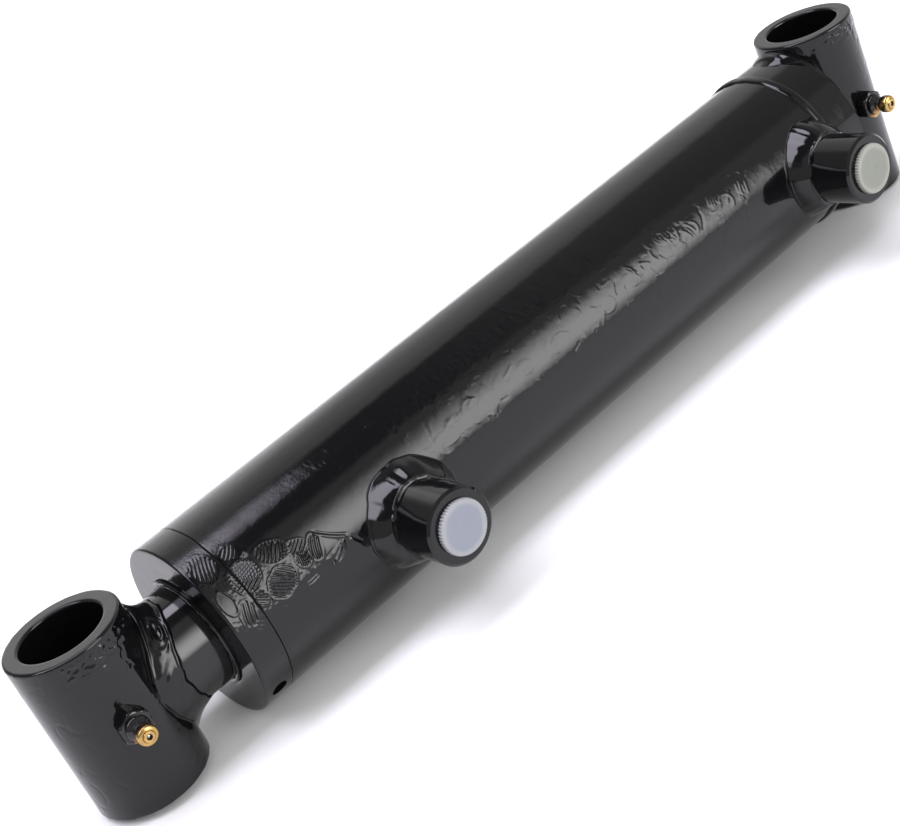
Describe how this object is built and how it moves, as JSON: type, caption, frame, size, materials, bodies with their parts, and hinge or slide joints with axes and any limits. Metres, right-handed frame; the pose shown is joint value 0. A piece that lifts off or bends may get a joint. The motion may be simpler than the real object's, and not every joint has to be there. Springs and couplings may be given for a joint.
{
  "type": "hydraulic cylinder",
  "caption": "Double-acting welded hydraulic cylinder, drawn retracted, with a cross tube for a pin at each end, plugged side ports and grease fittings.",
  "frame": {"origin": "centre of the base pin bore, on the cylinder axis", "axes": "+X along the cylinder from the rod end to the base end, +Z along the pin bores, ports facing -Y"},
  "size_m": [0.5683, 0.1249, 0.1],
  "materials": {
    "black_paint": "gloss",
    "rod_chrome": "polished",
    "machined_steel": "turned",
    "spring_steel": "bright",
    "fitting_brass": "bright",
    "seal_rubber": "matte",
    "seal_plastic": "matte",
    "seal_polyurethane": "satin",
    "plug_white": "satin",
    "plug_ivory": "satin"
  },
  "bodies": {
    "barrel": {"barrel_tube": "black_paint", "base_cap": "black_paint", "base_cap_weld": "black_paint", "base_cross_tube": "black_paint", "base_cross_tube_weld": "black_paint", "base_port_boss": "black_paint", "base_port_weld": "black_paint", "rod_port_boss": "black_paint", "rod_port_weld": "black_paint", "gland": "black_paint", "gland_o_ring": "seal_rubber", "gland_backup_ring": "seal_plastic", "rod_seal": "seal_polyurethane", "rod_wiper": "seal_polyurethane", "rod_guide_ring_inner": "seal_plastic", "rod_guide_ring_outer": "seal_plastic", "base_grease_fitting": "fitting_brass", "base_grease_ball": "spring_steel", "base_grease_spring": "spring_steel"},
    "piston_rings": {"piston_seal": "seal_plastic", "piston_seal_energizer": "seal_rubber", "piston_wear_ring_rear": "seal_plastic", "piston_wear_ring_front": "seal_plastic"},
    "rod": {"piston_rod": "rod_chrome", "piston": "machined_steel", "piston_nut": "machined_steel", "piston_o_ring": "seal_rubber", "rod_cross_tube": "black_paint", "rod_eye_weld": "black_paint", "rod_grease_fitting": "fitting_brass", "rod_grease_ball": "spring_steel", "rod_grease_spring": "spring_steel"},
    "base_port_plug": {"base_port_plug": "plug_ivory"},
    "rod_port_plug": {"rod_port_plug": "plug_white"}
  },
  "joints": [
    {"name": "rod_slide", "type": "slide", "parent": "barrel", "child": "piston_rings", "axis": [-1, 0, 0], "range_m": [0, 0.254]},
    {"name": "rod_turn", "type": "hinge", "parent": "piston_rings", "child": "rod", "pos_m": [-0.51435, 0, 0], "axis": [1, 0, 0], "continuous": true},
    {"name": "base_port_plug_pull", "type": "slide", "parent": "barrel", "child": "base_port_plug", "axis": [0, -1, 0], "range_m": [0, 0.0135]},
    {"name": "rod_port_plug_pull", "type": "slide", "parent": "barrel", "child": "rod_port_plug", "axis": [0, -1, 0], "range_m": [0, 0.0135]}
  ]
}
